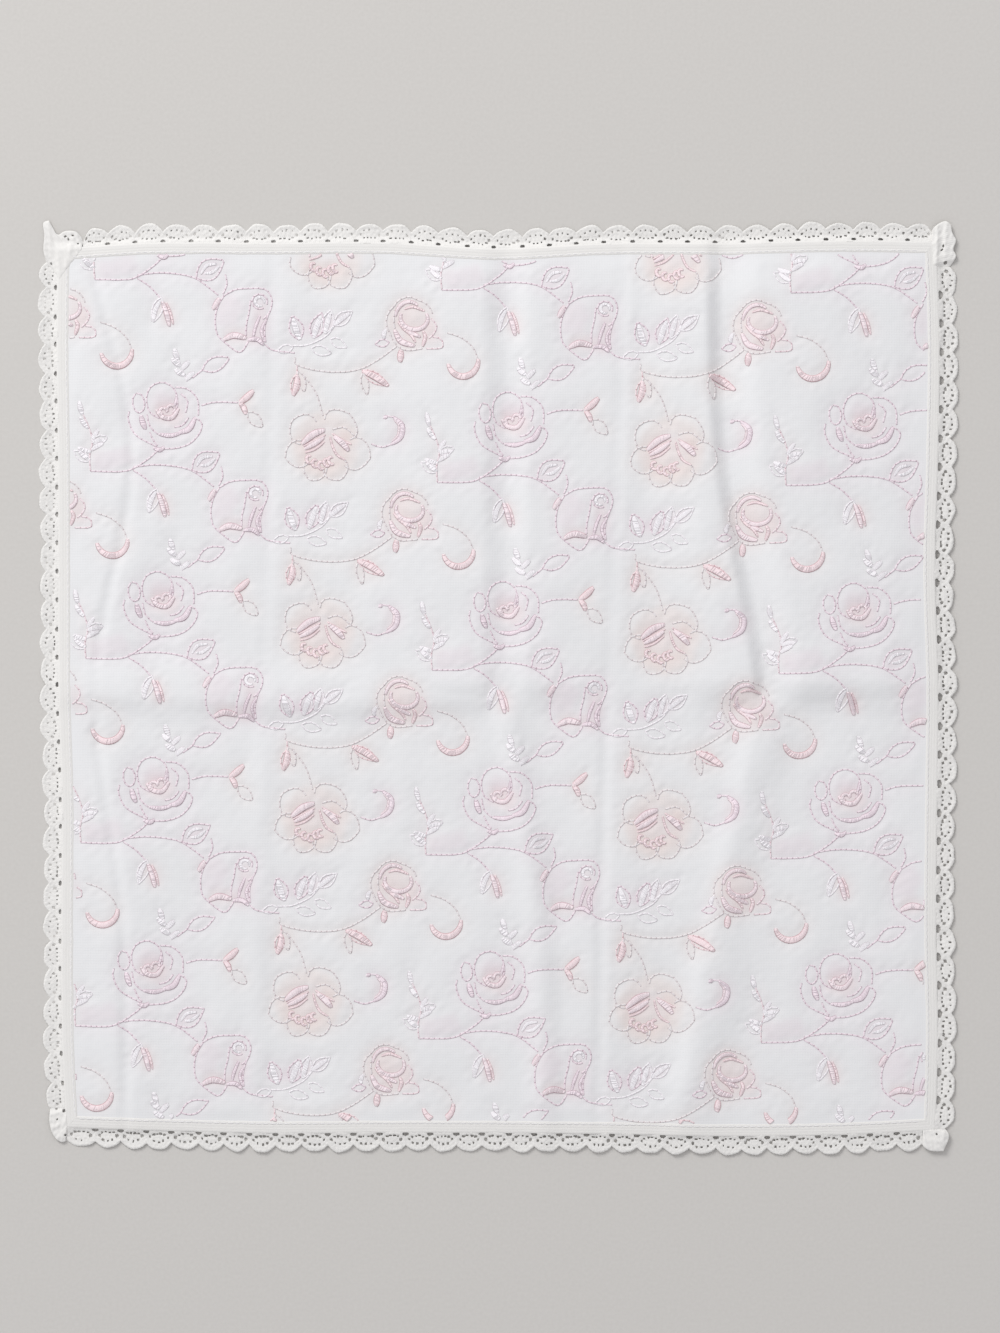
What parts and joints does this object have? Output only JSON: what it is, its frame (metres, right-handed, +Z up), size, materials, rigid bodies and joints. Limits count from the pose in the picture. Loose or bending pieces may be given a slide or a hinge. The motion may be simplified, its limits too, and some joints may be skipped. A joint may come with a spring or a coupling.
{
  "type": "embroidered handkerchief",
  "caption": "Square white double-gauze handkerchief with pastel flower embroidery and a scalloped cotton lace edging, lying flat with its storage creases.",
  "frame": {"origin": "middle of the handkerchief's outline, on the surface that it lies on", "axes": "+Z up out of the face of the cloth, +Y to its top edge, +X to its right edge as seen from above"},
  "size_m": [0.2997, 0.3039, 0.0031],
  "materials": {
    "gauze": "soft white cotton double gauze, open plain weave, stitched through in pastel thread",
    "lace": "warm white matte cotton bobbin lace",
    "thread": "pastel embroidery thread in running and satin stitch, with a slight silky gloss"
  },
  "bodies": {
    "root": {"cloth": "gauze", "lace_top": "lace", "lace_bottom": "lace", "lace_left": "lace", "lace_right": "lace"}
  },
  "joints": []
}
